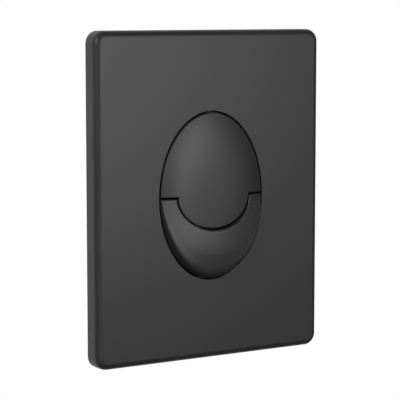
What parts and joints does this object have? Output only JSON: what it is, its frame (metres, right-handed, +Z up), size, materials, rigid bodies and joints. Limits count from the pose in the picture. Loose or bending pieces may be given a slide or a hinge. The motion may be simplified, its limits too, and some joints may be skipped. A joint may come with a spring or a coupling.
{
  "type": "flush button plate",
  "caption": "Rectangular wall plate with rounded edges and an oval pair of hinged flush buttons that press air pumps behind it, on a frame that screws to a concealed cistern.",
  "frame": {"origin": "middle of the plate, on the wall's surface that its back rim touches", "axes": "+X to the right as seen from the room, +Z up, +Y from the room into the wall"},
  "size_m": [0.156, 0.0598, 0.197],
  "materials": {
    "black_plastic": "matt black moulded plastic with a very fine grain",
    "frame_plastic": "light grey moulded plastic",
    "pump_plastic": "white moulded plastic",
    "plunger_plastic": "blue moulded plastic",
    "rubber": "soft black rubber",
    "plated_steel": "zinc-plated steel",
    "bright_steel": "drawn stainless wire"
  },
  "bodies": {
    "cover": {"front_plate": "black_plastic", "mounting_frame": "frame_plastic", "pump_bracket": "frame_plastic", "full_flush_pump_housing": "pump_plastic", "half_flush_pump_housing": "pump_plastic", "full_flush_pump_cap": "pump_plastic", "half_flush_pump_cap": "pump_plastic", "full_flush_bellows": "rubber", "half_flush_bellows": "rubber", "fixing_screw_left": "plated_steel", "fixing_screw_right": "plated_steel", "fixing_washer_left": "plated_steel", "fixing_washer_right": "plated_steel", "bracket_screws": "plated_steel", "pump_screws": "plated_steel", "full_flush_hinge_pin": "bright_steel", "half_flush_hinge_pin_left": "bright_steel", "half_flush_hinge_pin_right": "bright_steel", "full_flush_spring": "bright_steel", "half_flush_spring": "bright_steel"},
    "full_flush": {"full_flush_button": "black_plastic", "full_flush_buffers": "rubber"},
    "half_flush": {"half_flush_button": "black_plastic", "half_flush_buffer": "rubber"},
    "full_flush_pump": {"full_flush_plunger": "plunger_plastic"},
    "half_flush_pump": {"half_flush_plunger": "plunger_plastic"}
  },
  "joints": [
    {"name": "full_flush_press", "type": "hinge", "parent": "cover", "child": "full_flush", "pos_m": [0, -0.0056, 0.056], "axis": [1, 0, 0], "range_deg": [0, 5.5], "stiffness_Nm_per_rad": 1, "springref_deg": -11.46},
    {"name": "half_flush_press", "type": "hinge", "parent": "cover", "child": "half_flush", "pos_m": [0, -0.0056, -0.005], "axis": [1, 0, 0], "range_deg": [0, 7.5], "stiffness_Nm_per_rad": 1, "springref_deg": -11.46},
    {"name": "full_flush_stroke", "type": "slide", "parent": "cover", "child": "full_flush_pump", "axis": [0, 1, 0], "range_m": [0, 0.0039], "deforming": ["full_flush_bellows", "full_flush_spring"]},
    {"name": "half_flush_stroke", "type": "slide", "parent": "cover", "child": "half_flush_pump", "axis": [0, 1, 0], "range_m": [0, 0.0036], "deforming": ["half_flush_bellows", "half_flush_spring"]}
  ],
  "couplings": [
    {"joint": "full_flush_stroke", "follows": "full_flush_press", "m_per_rad": 0.04},
    {"joint": "half_flush_stroke", "follows": "half_flush_press", "m_per_rad": 0.027}
  ]
}
